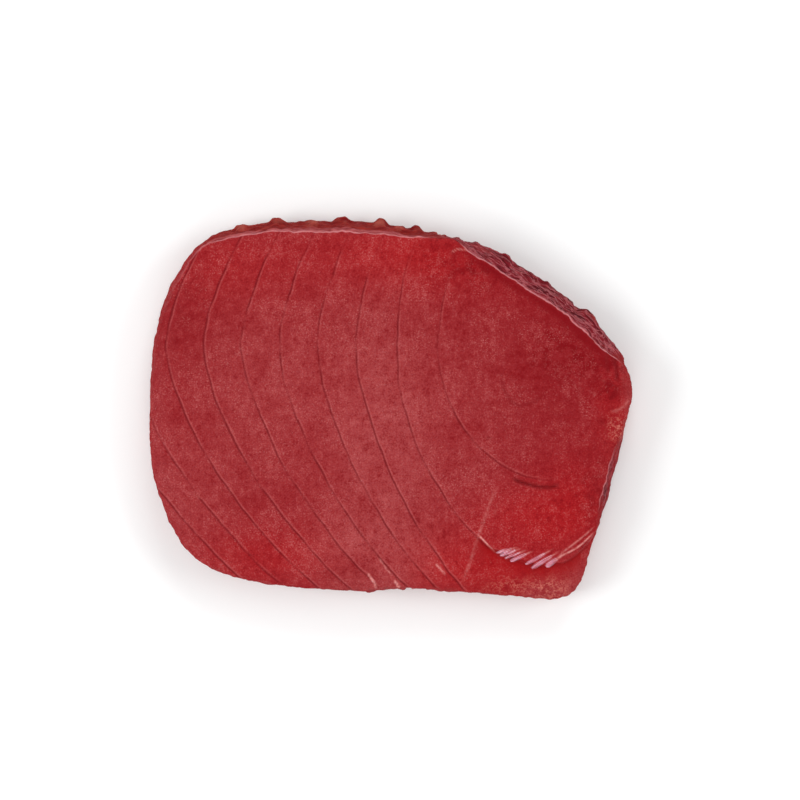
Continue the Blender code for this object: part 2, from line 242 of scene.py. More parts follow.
# Small strokes on the upper face: points, height, half width, pale or dark colour
strokes = (
    {"points": ((27.8, 9.2), (28.4, 5.0), (30.4, 1.9), (32.4, 0.9), (35.8, 1.8), (38.4, 3.3)),
     "height": -0.14, "width": 0.4, "pale": -0.5},
    {"points": ((56.0, 15.8), (56.8, 11.6), (57.3, 6.8)), "height": -0.4, "width": 0.4, "pale": -1.0},
    {"points": ((57.5, 14.0), (58.2, 10.0), (58.4, 5.5)), "height": 0.2, "width": 0.5, "pale": 0.12},
    {"points": ((54.2, 15.4), (54.9, 11.8), (54.3, 8.2)), "height": -0.1, "width": 0.5, "pale": -0.45},
    {"points": ((52.2, 9.4), (53.4, 7.0), (53.2, 4.4)), "height": -0.05, "width": 0.45, "pale": -0.35},
    {"points": ((55.1, -0.9), (57.0, -0.2), (58.9, 0.8), (60.4, 3.2)),
     "height": 0.25, "width": 0.5, "pale": 0.3},
    {"points": ((23.9, -7.4), (25.3, -7.1)), "height": -0.3, "width": 0.35, "pale": -0.6},
    {"points": ((6.4, -27.3), (6.9, -28.8)), "height": -0.1, "width": 0.6, "pale": -0.5},
    {"points": ((26.3, -19.8), (24.9, -23.5), (22.0, -31.9), (19.7, -39.0), (17.7, -44.4)),
     "height": 0.1, "width": 0.5, "pale": 0.3},
    {"points": ((26.8, -23.5), (25.9, -27.0)), "height": 0.06, "width": 0.5, "pale": 0.2},
    # on the torn step's edge and the two ridges past the flakes the pale colour is painted highlight
    {"points": ((21.9, -31.6), (22.8, -32.7), (23.9, -33.9), (25.1, -35.2), (26.7, -36.6)),
     "height": 0.12, "width": 0.24, "pale": 1.0},
    {"points": ((41.4, -38.4), (43.0, -37.0), (44.8, -36.2), (46.8, -35.1), (48.4, -33.9), (51.4, -31.0)),
     "height": 0.3, "width": 0.22, "pale": 0.9},
    {"points": ((41.6, -37.8), (43.4, -36.0), (45.6, -34.4), (47.6, -32.9), (49.4, -31.4), (51.4, -29.7)),
     "height": 0.25, "width": 0.26, "pale": 0.5},
    {"points": ((14.8, 39.7), (16.6, 40.7), (19.4, 40.4), (22.6, 39.4)),
     "height": 0.1, "width": 0.28, "pale": 0.5},
    {"points": ((-6.0, -41.5), (-5.0, -43.0), (-4.2, -44.2), (-3.9, -45.6)),
     "height": 0.12, "width": 0.3, "pale": 1.0},
    {"points": ((-3.5, -37.4), (-2.2, -39.1), (-1.1, -40.7), (-0.1, -41.8)),
     "height": 0.05, "width": 0.25, "pale": 0.5},
    {"points": ((0.7, -43.3), (1.5, -44.6), (2.1, -45.8)), "height": 0.1, "width": 0.34, "pale": 0.9},
    {"points": ((11.0, -38.9), (12.4, -40.4), (13.7, -42.0)), "height": 0.08, "width": 0.34, "pale": 0.6},
)

# Soft patches of the flesh's tint, and of painted sheen: x, y, half length, half height, amount
patches = {
    # first patches: painted sheen, a lighter and hazier pink where soft light reflects off the wet top
    "paintedSheen": (
        (-2.0, -6.0, 15.0, 34.0, 0.9), (-4.0, -36.0, 12.0, 12.0, 0.75), (22.0, -4.0, 14.0, 24.0, 0.25),
        (46.6, -44.4, 5.8, 7.0, 1.0), (40.0, -46.2, 7.0, 3.8, 0.9), (-6.0, -38.0, 14.0, 9.0, 0.4),
        (-32.0, 6.0, 20.0, 28.0, 0.5), (-50.0, -20.0, 12.0, 18.0, 0.4), (60.0, 3.4, 1.5, 4.6, 0.6),
    ),
    "bright": (
        (6.0, 39.0, 26.0, 9.0, 0.9), (14.0, -40.0, 14.0, 9.0, 0.9), (33.0, -42.0, 13.0, 5.0, 0.7),
        (46.0, -26.0, 10.0, 12.0, 0.75), (57.0, 0.0, 5.0, 14.0, 0.7), (34.0, -28.0, 14.0, 8.0, 0.7),
        (-30.0, -38.0, 20.0, 8.0, 0.6), (-40.0, 36.0, 18.0, 10.0, 0.5),
    ),
    "veined": (
        (40.0, -45.8, 4.8, 3.2, 1.0), (57.4, -5.0, 2.2, 3.0, 0.9), (30.0, -45.0, 6.0, 2.0, 0.5),
    ),
    "deep": (
        (49.0, 17.0, 11.0, 11.0, 0.8), (57.0, 10.0, 5.0, 7.0, 0.4), (26.0, 35.0, 14.0, 4.5, 0.6),
        (38.0, 11.0, 10.0, 12.0, 0.35), (38.4, 13.2, 2.2, 3.2, 0.5), (51.0, -20.0, 4.0, 9.0, 0.5),
        (36.0, -41.4, 8.0, 2.2, 0.4), (30.0, 36.0, 16.0, 3.0, 0.6), (16.0, 41.0, 6.0, 2.4, 0.5),
        (-54.0, 26.0, 10.0, 14.0, 0.4), (-12.0, -42.0, 10.0, 4.0, 0.3), (55.4, 4.4, 2.0, 3.6, 0.9),
        (54.0, -3.0, 1.8, 1.2, 0.7), (56.6, 11.2, 1.1, 4.2, 0.9),
    ),
}


def smooth(value):
    held = np.clip(value, 0.0, 1.0)
    return held * held * (3.0 - 2.0 * held)


def rise(value, low, high):
    # 0 at low and 1 at high, eased at both ends; low may be the larger
    return smooth((value - low) / (high - low))


def closedSpline(points, steps):
    # smooth closed curve through rows of numbers, each column alike
    rows = np.array(points)
    before, after, beyond = (np.roll(rows, shift, axis=0) for shift in (1, -1, -2))
    curve = []
    for t in np.linspace(0.0, 1.0, steps, endpoint=False):
        curve.append(0.5 * (2.0 * rows + (after - before) * t
                            + (2.0 * before - 5.0 * rows + 4.0 * after - beyond) * t ** 2
                            + (3.0 * rows - before - 3.0 * after + beyond) * t ** 3))
    return np.stack(curve, axis=1).reshape(-1, rows.shape[1])


def noiseAt(x, y, z, size, seed):
    # smooth noise from -1 to 1
    shift = Vector((seed * 17.3, seed * 5.9, seed * 11.1))
    places = np.stack([x, y, z], axis=1) / size
    return np.array([noise.noise(Vector(place) + shift) for place in places])


def nearestOnOutline(x, y, outline):
    # distance inside the outline, outward direction, wall values and length run
    start = outline[:, :2]
    run = np.roll(start, -1, axis=0) - start
    length = np.linalg.norm(run, axis=1)
    runStart = np.concatenate([[0.0], np.cumsum(length)[:-1]])
    outward = np.stack([-run[:, 1], run[:, 0]], axis=1) / length[:, None]
    nextRows = np.roll(outline, -1, axis=0)
    parts = []
    for first in range(0, len(x), 8000):
        place = np.stack([x[first:first + 8000], y[first:first + 8000]], axis=1)
        offset = place[:, None, :] - start[None, :, :]
        along = np.clip((offset * run).sum(axis=2) / length ** 2, 0.0, 1.0)
        gap = offset - along[:, :, None] * run
        best = np.argmin((gap ** 2).sum(axis=2), axis=1)
        row = np.arange(len(place))
        share = along[row, best][:, None]
        gap = gap[row, best]
        inside = np.linalg.norm(gap, axis=1) * np.where((gap * outward[best]).sum(axis=1) < 0.0, 1.0, -1.0)
        towards = slab["outwardEase"] * outward[best] - gap * np.sign(inside)[:, None]
        towards /= np.linalg.norm(towards, axis=1)[:, None]
        values = outline[best, 2:] * (1.0 - share) + nextRows[best, 2:] * share
        ran = runStart[best] + share[:, 0] * length[best]
        parts.append(np.column_stack([inside, towards, values, ran]))
    return np.concatenate(parts), length.sum()


def bandNumber(x, y):
    # number of the band at each place: whole numbers lie on the creases
    extra = np.arange(1, bands["further"] + 1)
    count = np.arange(len(bands["left"]) + bands["further"])
    reach = {}
    for side, growth in (("left", bands["furtherSide"]), ("right", bands["furtherSide"]),
                         ("front", bands["furtherDepth"]), ("back", bands["furtherDepth"]), ("power", 0.0)):
        reach[side] = np.concatenate([bands[side], bands[side][-1] + growth * extra])
    dx = x - bands["centre"][0]
    dy = y - bands["centre"][1]
    low = np.full(len(x), 0.001)
    high = np.full(len(x), float(count[-1]))
    for _ in range(24):
        middle = 0.5 * (low + high)
        left, right, front, back, bend = (np.interp(middle, count, side) for side in reach.values())
        reachX = np.where(dx < 0.0, left, right)
        reachY = np.where(dy < 0.0, front, back)
        outside = np.abs(dx / reachX) ** bend + np.abs(dy / reachY) ** bend > 1.0
        low = np.where(outside, middle, low)
        high = np.where(outside, high, middle)
    return 0.5 * (low + high)


def bandField(x, y):
    # band number and the width of a band at each place
    level = np.zeros(len(x))
    warpX = x + bands["warp"] * noiseAt(x, y, level, bands["warpSize"], 1)
    warpX += bands["quiver"] * noiseAt(x, y, level, bands["quiverSize"], 11)
    warpY = y + bands["warp"] * noiseAt(x, y, level, bands["warpSize"], 2)
    reach = 0.4             # between two places where the number is compared
    number = bandNumber(warpX, warpY)
    slopeX = (bandNumber(warpX + reach, warpY) - number) / reach
    slopeY = (bandNumber(warpX, warpY + reach) - number) / reach
    return number, 1.0 / np.maximum(np.hypot(slopeX, slopeY), 0.02)


def creaseStrength(x, y):
    # creases show on the left and front of the centre and fade behind it
    turn = np.degrees(np.arctan2(y - bands["centre"][1], x - bands["centre"][0]))
    away = np.abs((turn - bands["turn"] + 180.0) % 360.0 - 180.0)
    return 1.0 - bands["faded"] * smooth((away - bands["turnSpan"]) / bands["turnFade"])


def flakeCover(x, y):
    # 1 on a pointed flake, its pale tip, its edge, and the pale line along its root; the pale tip, edge and
    # root line are painted glints
    cover, tipGlint, edgeGlint, line = np.zeros((4, len(x)))
    for tipX, tipY, rootX, rootY, halfWidth in step["flakes"]:
        runX = rootX - tipX
        runY = rootY - tipY
        length = math.hypot(runX, runY)
        along = ((x - tipX) * runX + (y - tipY) * runY) / length ** 2
        beside = np.abs((x - tipX) * runY - (y - tipY) * runX) / length
        shape = np.sqrt(np.clip(along / step["tipShare"], 0.0, 1.0))
        shape *= smooth((step["rootEnd"] - along) / step["rootShare"])
        toEdge = halfWidth * shape - beside
        inFlake = smooth(0.5 + toEdge / step["flakeEdge"]) * (shape > 0.0)
        edge = np.exp(-(toEdge / step["edgeLine"]) ** 2) * (along < step["edgeEnd"])
        edgeGlint = np.maximum(edgeGlint, edge * inFlake)
        cover = np.maximum(cover, inFlake)
        tipGlint = np.maximum(tipGlint, inFlake * smooth((step["paleEnd"] - along) / step["paleShare"]))
        start, full, fading, end = step["rootLineSpan"]
        rootPart = rise(along, start, full) * rise(along, end, fading)
        line = np.maximum(line, np.exp(-(beside / step["rootLine"]) ** 2) * rootPart)
    return cover, tipGlint, edgeGlint, line


def stepEdge(x, y, number, width):
    # how far the step has begun, and the distance past its edge
    begun = rise(x, *step["start"]) * rise(y, *step["top"])
    flaked = smooth((x - step["flakeSpan"][0]) / step["spanEase"])
    flaked = flaked * smooth((step["flakeSpan"][1] - x) / step["spanEase"])
    return begun, (number - step["band"]) * width + step["drawnBack"] * flaked


def strokeCover(x, y, stroke):
    # 1 on the stroke's line, fading to 0 at its half width and at both ends
    points = stroke["points"]
    growth, show = strokeLook["endGrowth"], strokeLook["endShow"]
    best = np.full(len(x), np.inf)
    ends = np.zeros(len(x))
    for index in range(len(points) - 1):
        ax, ay = points[index]
        runX = points[index + 1][0] - ax
        runY = points[index + 1][1] - ay
        share = np.clip(((x - ax) * runX + (y - ay) * runY) / (runX ** 2 + runY ** 2), 0.0, 1.0)
        gap = np.hypot(x - ax - share * runX, y - ay - share * runY)
        along = (index + share) / (len(points) - 1)
        grown = smooth(growth * along + show) * smooth(growth * (1.0 - along) + show)
        ends = np.where(gap < best, grown, ends)
        best = np.minimum(best, gap)
    return np.exp(-(best / stroke["width"]) ** 2) * ends


def patchField(x, y, places):
    field = np.zeros(len(x))
    for middleX, middleY, halfX, halfY, amount in places:
        reach = ((x - middleX) / halfX) ** 2 + ((y - middleY) / halfY) ** 2
        field = 1.0 - (1.0 - field) * (1.0 - amount * np.exp(-reach))
    return field


def membraneCover(x, y, height):
    # 1 where the thin membrane lies: the long side behind on the right, but for
    # a knob of bare flesh low on it, and a strip on the right side
    behind = rise(x, *membrane["backStart"]) * rise(y, *membrane["backSide"])
    knobX, knobY, knobReach = membrane["knob"]
    knob = np.exp(-((x - knobX) ** 2 + (y - knobY) ** 2) / knobReach ** 2)
    knob = knob * rise(height, *membrane["knobHeight"])
    strip = rise(x, *membrane["rightSide"]) * rise(y, *membrane["rightBack"])
    strip = strip * rise(y, *membrane["rightFront"])
    return np.maximum(behind * (1.0 - membrane["knobBare"] * knob), membrane["rightAmount"] * strip)


def formSteak(points):
    # moves the points of a flat slab to the steak's form and names what lies where
    x, y, z = points.T.copy()
    outline = closedSpline(slab["outline"], slab["spanSteps"])
    found, around = nearestOnOutline(x, y, outline)
    inside, outX, outY, lean, roll, along = found.T
    height = np.clip(z / slab["thickness"], 0.0, 1.0)
    unrolled = slab["thickness"] - z + np.where(height > 0.5, -inside, inside)

    leanSpan = slab["rimHeight"] - slab["widestHeight"]
    lift = smooth((height - slab["widestHeight"]) / leanSpan)
    lift = lift / smooth((1.0 - slab["widestHeight"]) / leanSpan)
    foot = np.clip(1.0 - height / slab["widestHeight"], 0.0, 1.0) ** 2
    reach = slab["leanReach"] + slab["leanReachGrowth"] * lean
    inward = (lean * lift + slab["footTuck"] * foot) * np.clip(1.0 - inside / reach, 0.0, 1.0) ** 2

    turn = along / around * 2.0 * np.pi
    wallX = np.cos(turn) * around / (2.0 * np.pi)
    wallY = np.sin(turn) * around / (2.0 * np.pi)
    nearWall = np.clip(1.0 - inside / walls["depth"], 0.0, 1.0)
    relief = walls["crag"] * noiseAt(wallX, wallY, z, walls["cragSize"], 4)
    stretched = z * walls["streakLength"] / walls["streakSize"]
    relief += walls["streak"] * noiseAt(wallX, wallY, stretched, walls["streakLength"], 5)
    relief += walls["rough"] * noiseAt(wallX, wallY, z, walls["roughSize"], 8)
    tips = np.zeros(len(x))
    slanted = x + walls["cragSlant"] * noiseAt(wallX, wallY, z, walls["cragSlantSize"], 12)
    for side, crags in ((y > 0.0, walls["backCrags"]), (y < 0.0, walls["frontCrags"])):
        for cragX, cragReach, halfWidth, cragHeight in crags:
            ridge = smooth(walls["cragBlunt"] * (1.0 - np.abs(slanted - cragX) / halfWidth))
            tips += cragReach * ridge * np.exp(-((height - cragHeight) / walls["cragSpan"]) ** 2) * side
    inward -= nearWall * (relief + tips) * (1.0 - foot)
    x -= outX * inward
    y -= outY * inward

    number, width = bandField(x, y)
    strength = creaseStrength(x, y) * (np.round(number) >= bands["firstCrease"])
    gap = (number - np.round(number)) * width
    face = bands["crown"] * strength * (1.0 - np.exp(-(gap / bands["crownWidth"]) ** 2))
    face -= bands["creaseDepth"] * strength * np.exp(-(gap / bands["creaseWidth"]) ** 2)
    face += bands["lipHeight"] * strength * np.exp(-((gap + bands["lipPlace"]) / bands["lipWidth"]) ** 2)
    slitAlong = (x - slit["middle"][0]) / slit["halfLength"]
    slitAcross = (number - slit["band"]) * width / slit["halfWidth"]
    opened = smooth(slit["ends"] * (1.0 - slitAlong ** 2)) * np.exp(-slitAcross ** 2)
    opened = opened * (y < bands["centre"][1])
    face -= slit["depth"] * opened
    begun, pastEdge = stepEdge(x, y, number, width)
    flakes, flakeGlints, flakeEdgeGlints, rootLines = flakeCover(x, y)
    below = begun * smooth(0.5 + pastEdge / step["width"]) * (1.0 - flakes)
    face -= step["drop"] * below
    level = np.zeros(len(x))
    face += slab["swell"] * noiseAt(x, y, level, slab["swellSize"], 3)
    for bumpHeight, bumpSize, seed in slab["bumps"]:
        face += bumpHeight * noiseAt(x, y, level, bumpSize, seed)
    face += step["rootLineHeight"] * rootLines
    pale = step["rootLineGlint"] * rootLines
    dark = opened.copy()
    onFace = rise(height, *strokeLook["faceHeight"])
    for stroke in strokes:
        cover = strokeCover(x, y, stroke) * onFace
        face += stroke["height"] * cover
        pale = np.maximum(pale, stroke["pale"] * cover)
        dark = np.maximum(dark, -stroke["pale"] * cover)
    bead = np.exp(-((unrolled + slab["beadPlace"]) / slab["beadWidth"]) ** 2)
    face += slab["beadHeight"] * bead * rise(lean, *slab["beadLean"])
    rolled = roll * np.clip(1.0 - inside / slab["rollWidth"], 0.0, 1.0) ** 2
    z += height ** 2 * (face - rolled)
    z[z < slab["floorBand"]] = 0.0

    shade = np.exp(-((unrolled + walls["rimShadePlace"]) / walls["rimShadeWidth"]) ** 2)
    shade = shade * rise(lean, *walls["rimShadeLean"]) * rise(x, *walls["rimShadeStart"])
    backDepth, sideDepth = walls["rimDepth"]
    richness = np.exp(-(np.maximum(pastEdge, 0.0) / step["richReach"]) ** 2)
    marks = {
        "bandNumber": number,
        "bandWidth": width,
        "creaseShow": strength,
        "unrolled": unrolled,
        "membrane": membraneCover(x, y, height),
        "leanShow": rise(lean, *walls["leanShow"]),
        "tip": tips * (x < walls["tanEnd"]),
        "backWall": rise(y, *walls["backSide"]) * rise(x, *walls["backStart"]),
        "flake": flakeGlints,
        "flakeEdgeGlint": flakeEdgeGlints,
        "below": below,
        "underStep": below * richness * (x < step["richEnd"]),
        "paleStroke": pale,
        "darkStroke": dark,
        "paintedSheen": patchField(x, y, patches["paintedSheen"]),
        "bright": patchField(x, y, patches["bright"]),
        "deep": patchField(x, y, patches["deep"]),
        "veined": patchField(x, y, patches["veined"]),
        "rimShade": walls["rimShade"] * shade,
        "rimDepth": backDepth + (sideDepth - backDepth) * rise(x, *walls["rimDepthTurn"]),
    }
    return np.stack([x, y, z], axis=1), marks, np.stack([wallX, wallY, unrolled], axis=1)


def gridSlab():
    # straight slab of the widest outline as an even grid, finer where it shows
    curve = bpy.data.curves.new("slabOutline", "CURVE")
    curve.dimensions = "2D"
    curve.fill_mode = "BOTH"
    curve.extrude = 0.5 * slab["thickness"] * mm
    outline = closedSpline(slab["outline"], slab["spanSteps"])[:, :2] * mm
    spline = curve.splines.new("POLY")
    spline.points.add(len(outline) - 1)
    spline.use_cyclic_u = True
    for point, place in zip(spline.points, outline):
        point.co = (place[0], place[1], 0.0, 1.0)
    flat = bpy.data.objects.new("slabOutline", curve)
    bpy.context.scene.collection.objects.link(flat)
    bpy.context.view_layer.update()
    mesh = bpy.data.meshes.new_from_object(flat.evaluated_get(bpy.context.evaluated_depsgraph_get()))
    bpy.data.objects.remove(flat, do_unlink=True)
    work = bmesh.new()
    work.from_mesh(mesh)
    bmesh.ops.remove_doubles(work, verts=work.verts, dist=0.01 * mm)
    bmesh.ops.translate(work, verts=work.verts, vec=(0.0, 0.0, 0.5 * slab["thickness"] * mm))
    bmesh.ops.recalc_face_normals(work, faces=work.faces)
    work.to_mesh(mesh)
    work.free()

    block = bpy.data.objects.new("slabGrid", mesh)
    bpy.context.scene.collection.objects.link(block)
    remesh = block.modifiers.new("even grid", "REMESH")
    remesh.mode = "VOXEL"
    remesh.voxel_size = slab["gridSize"] * mm
    bpy.context.view_layer.update()
    grid = bpy.data.meshes.new_from_object(block.evaluated_get(bpy.context.evaluated_depsgraph_get()))
    bpy.data.objects.remove(block, do_unlink=True)

    work = bmesh.new()
    work.from_mesh(grid)
    shown = [face for face in work.faces if face.calc_center_median().z > slab["coarseBelow"] * mm]
    splitFaces(work, shown)
    torn = [face for face in work.faces if isTorn(face.calc_center_median() / mm)]
    splitFaces(work, torn)
    bmesh.ops.triangulate(work, faces=work.faces)
    work.to_mesh(grid)
    work.free()
    return grid


def isTorn(place):
    left, right, front, back = step["fineBox"]
    return place.z > step["fineAbove"] and left < place.x < right and front < place.y < back


def splitFaces(work, faces):
    edges = list({edge for face in faces for edge in face.edges})
    bmesh.ops.subdivide_edges(work, edges=edges, cuts=1, use_grid_fill=True)


class Wire:
    # one socket of a material; sums and products on it add Math nodes
    def __init__(self, tree, socket=None):
        self.tree = tree
        self.socket = socket

    def add(self, kind, settings, inputs, output=0):
        node = self.tree.nodes.new(kind)
        for name, value in settings.items():
            setattr(node, name, value)
        for name, value in inputs.items():
            if isinstance(value, Wire):
                self.tree.links.new(value.socket, node.inputs[name])
            else:
                node.inputs[name].default_value = value
        return Wire(self.tree, node.outputs[output])

    def maths(self, operation, first, second=0.0):
        return self.add("ShaderNodeMath", {"operation": operation}, {0: first, 1: second})

    def __add__(self, other):
        return self.maths("ADD", self, other)

    def __radd__(self, other):
        return self.maths("ADD", other, self)

    def __sub__(self, other):
        return self.maths("SUBTRACT", self, other)

    def __rsub__(self, other):
        return self.maths("SUBTRACT", other, self)

    def __mul__(self, other):
        return self.maths("MULTIPLY", self, other)

    def __rmul__(self, other):
        return self.maths("MULTIPLY", other, self)

    def __abs__(self):
        return self.maths("ABSOLUTE", self)

    def fract(self):
        return self.maths("FRACT", self)

    def highest(self, other):
        return self.maths("MAXIMUM", self, other)

    def ramp(self, low, high):
        # 0 at low and 1 at high, eased at both ends; low may be the larger
        settings = {"interpolation_type": "SMOOTHSTEP"}
        return self.add("ShaderNodeMapRange", settings, {"Value": self, "From Min": low, "From Max": high})

    def mark(self, name):
        return self.add("ShaderNodeAttribute", {"attribute_name": name}, {}, "Fac")

    def noise(self, place, size, detail=2.0, roughness=0.5, distortion=0.0):
        inputs = {"Vector": place, "Scale": 1.0 / size, "Detail": detail, "Roughness": roughness,
                  "Distortion": distortion}
        return self.add("ShaderNodeTexNoise", {}, inputs, "Fac")

    def stretch(self, place, factors):
        return self.add("ShaderNodeVectorMath", {"operation": "MULTIPLY"}, {0: place, 1: factors})

    def tint(self, amount, under, over):
        # the colour over laid on the colour under
        return self.add("ShaderNodeMix", {"data_type": "RGBA"}, {0: amount, 6: under, 7: over}, 2)


def rgb(red, green, blue):
    # a colour as seen, 0 to 255, as the shader's linear numbers
    linear = []
    for value in (red / 255.0, green / 255.0, blue / 255.0):
        linear.append(value / 12.92 if value <= 0.04045 else ((value + 0.055) / 1.055) ** 2.4)
    return (*linear, 1.0)


fleshLook = {
    "red": rgb(138, 26, 32),
    "brightRed": rgb(161, 12, 18),
    # pale hazy pink of the painted sheen
    "paintedSheen": rgb(157, 61, 63),
    "deep": rgb(120, 0, 10),
    "rich": rgb(142, 0, 4),
    "speck": rgb(178, 84, 84),
    "dot": rgb(206, 128, 124),
    # dark red of the painted shade in the creases
    "crease": rgb(102, 2, 12),
    "slit": rgb(112, 0, 8),
    "vein": rgb(206, 124, 108),
    "paleLine": rgb(206, 130, 126),
    # lilac flake tips and their white edge: painted glints
    "lilacGlint": rgb(205, 138, 158),
    "flakeEdge": rgb(234, 194, 208),
    "membrane": rgb(120, 20, 32),
    "membraneDark": rgb(76, 0, 10),
    "membranePale": rgb(184, 100, 106),
    "wallFlesh": rgb(112, 6, 8),
    "wallTan": rgb(144, 38, 33),
    "rim": rgb(182, 92, 96),
    # pale pink of the crest line: pale tissue with painted highlight
    "crestPaleAndHighlight": rgb(206, 134, 138),
    "tip": rgb(158, 70, 60),
    "cragTop": rgb(180, 100, 86),
    "roughness": 0.5,
    "cloudSize": 7.0,       # sizes of the flesh's pattern
    "blotSize": 2.4,
    "mottleSize": 1.6,
    "grainSize": 0.42,
    "dotSize": 0.36,
    "netSize": 1.2,
    "raggedSize": 1.2,      # of the line where a wall's look begins
    "creaseHalfWidth": 0.38,
    "creaseDark": 0.75,
    # strength of the painted highlight beside each crease
    "creasePale": 0.4,
    "creaseLostOnWall": 0.75,
    "flakeTurn": 27.0,      # degrees
    "flakeStreak": (3.0, 0.3, 1.0),
    "blotchStretch": (0.22, 0.22, 0.5),
    "crumpleStretch": (0.2, 0.2, 0.45),
    "threadStretch": (0.09, 0.09, 0.5),
    "skinPatchSize": 6.0,
    "wobbleSize": 3.0,
    "brokenSize": 9.0,
    "speckleSize": 0.9,
    "bumpHeight": 0.35,
    "ior": 1.38,
    "specular": 0.14,
    "subsurface": 0.2,
    "subsurfaceRadius": (1.0, 0.25, 0.15),
    "subsurfaceDepth": 2.5,
}


def fleshMaterial():
    look = fleshLook
    material = bpy.data.materials.new("rawTunaFlesh")
    material.use_nodes = True
    tree = material.node_tree
    shader = tree.nodes["Principled BSDF"]
    wire = Wire(tree)
    metres = wire.add("ShaderNodeTexCoord", {}, {}, "Object")
    place = wire.add("ShaderNodeVectorMath", {"operation": "SCALE"}, {0: metres, "Scale": 1.0 / mm})
    wallPlace = wire.add("ShaderNodeAttribute", {"attribute_name": "wallPlace"}, {}, "Vector")
    number = wire.mark("bandNumber")
    width = wire.mark("bandWidth")
    creaseShow = wire.mark("creaseShow")
    unrolled = wire.mark("unrolled")

    # flesh: soft patches of tint and of painted sheen, mottle, grain and faint strokes across the steak
    slow = wire.noise(place, look["cloudSize"], 4.0, 0.6)
    mottle = wire.noise(place, look["mottleSize"], 2.0, 0.6)
    grain = wire.noise(place, look["grainSize"], 2.0, 0.6)
    fibre = wire.noise(wire.stretch(place, (0.8, 0.14, 0.3)), 1.0, 3.0, 0.6)
    colour = wire.tint(wire.mark("bright") * (0.4 + 1.1 * slow), look["red"], look["brightRed"])
    # painted sheen: lighter hazy pink where soft light reflects off the wet top
    colour = wire.tint(wire.mark("paintedSheen") * (0.4 + 1.0 * slow), colour, look["paintedSheen"])
    blots = wire.noise(place, look["blotSize"], 3.0, 0.6).ramp(0.42, 0.62)
    colour = wire.tint(wire.mark("deep") * (0.4 + 0.9 * blots), colour, look["deep"])
    light = (slow - 0.5) * 1.0 + (mottle - 0.5) * 1.1 + (grain - 0.5) * 2.0 + (fibre - 0.5) * 0.6
    colour = wire.tint(light.ramp(-0.05, 0.75) * (0.55 - wire.mark("deep") * 0.4), colour, look["speck"])
    colour = wire.tint(light.ramp(0.05, -0.7) * 0.75, colour, look["deep"])
    fine = wire.noise(place, look["dotSize"], 1.0)
    colour = wire.tint(fine.ramp(0.58, 0.74) * slow.ramp(0.4, 0.62) * 0.28, colour, look["dot"])
    colour = wire.tint(fine.ramp(0.42, 0.3) * mottle.ramp(0.56, 0.42) * 0.55, colour, look["deep"])

    # how far down over the rim a place lies, with a ragged line, and 1 on the walls
    ragged = unrolled + (wire.noise(place, look["raggedSize"], 3.0) - 0.5) * 0.9
    onWall = ragged.ramp(-0.1, 0.35) * ragged.ramp(slab["thickness"] + 0.6, slab["thickness"] - 0.4)

    # creases between the muscle bands, darkened with painted shade in the groove and with a painted
    # highlight on one side; fainter down the walls
    wobble = (wire.noise(place, look["wobbleSize"], 3.0) - 0.5) * 0.5
    gap = ((number + 0.5).fract() - 0.5) * width + wobble * 0.6
    broken = wire.noise(place, look["brokenSize"], 2.0).ramp(0.3, 0.6)
    creaseShow = creaseShow * (1.0 - look["creaseLostOnWall"] * onWall)
    crease = abs(gap).ramp(look["creaseHalfWidth"], 0.05) * creaseShow * (0.2 + 0.7 * broken)
    # painted highlight on one side of each crease
    litCreaseSide = abs(gap + 0.45).ramp(0.34, 0.05) * creaseShow * broken * (0.3 + grain)
    colour = wire.tint(crease * look["creaseDark"], colour, look["crease"])
    colour = wire.tint(litCreaseSide * look["creasePale"], colour, look["speck"])
    colour = wire.tint(wire.mark("darkStroke") * 0.85, colour, look["slit"])
    speckled = wire.noise(place, look["speckleSize"], 3.0, 0.7).ramp(0.34, 0.6)
    # pale strokes: pale lines of tissue, and painted highlight on the step's edge, its ridges and the
    # flakes' root lines
    paleShow = (wire.mark("paleStroke") * (0.55 + 0.6 * speckled)).ramp(0.0, 0.9)
    colour = wire.tint(paleShow, colour, look["paleLine"])

    # pale net near the front right corner and the right rim
    net = abs(wire.noise(place, look["netSize"], 3.0, 0.6) - 0.5).ramp(0.07, 0.0) * mottle.ramp(0.35, 0.55)
    net = net.highest(grain.ramp(0.54, 0.66) * mottle.ramp(0.4, 0.55))
    colour = wire.tint((0.6 - net) * wire.mark("veined") * 0.4, colour, look["deep"])
    colour = wire.tint(net * wire.mark("veined") * 0.85, colour, look["vein"])

    # torn step: deeper red just below it, and pale wet flakes with streaks and a thin edge, their lilac and
    # white painted glints
    flake = wire.mark("flake")
    turn = (0.0, 0.0, math.radians(look["flakeTurn"]))
    turned = {"Vector": place, "Rotation": turn, "Scale": look["flakeStreak"]}
    flakePlace = wire.add("ShaderNodeMapping", {"vector_type": "TEXTURE"}, turned)
    streaks = wire.noise(flakePlace, 1.0, 2.0, 0.6).ramp(0.36, 0.62)
    colour = wire.tint(wire.mark("underStep") * (0.35 + 0.9 * mottle), colour, look["rich"])
    colour = wire.tint(wire.mark("below") * 0.15, colour, look["brightRed"])
    colour = wire.tint(flake * (0.45 + 0.55 * streaks), colour, look["lilacGlint"])
    colour = wire.tint(wire.mark("flakeEdgeGlint") * (0.2 + 0.7 * streaks), colour, look["flakeEdge"])

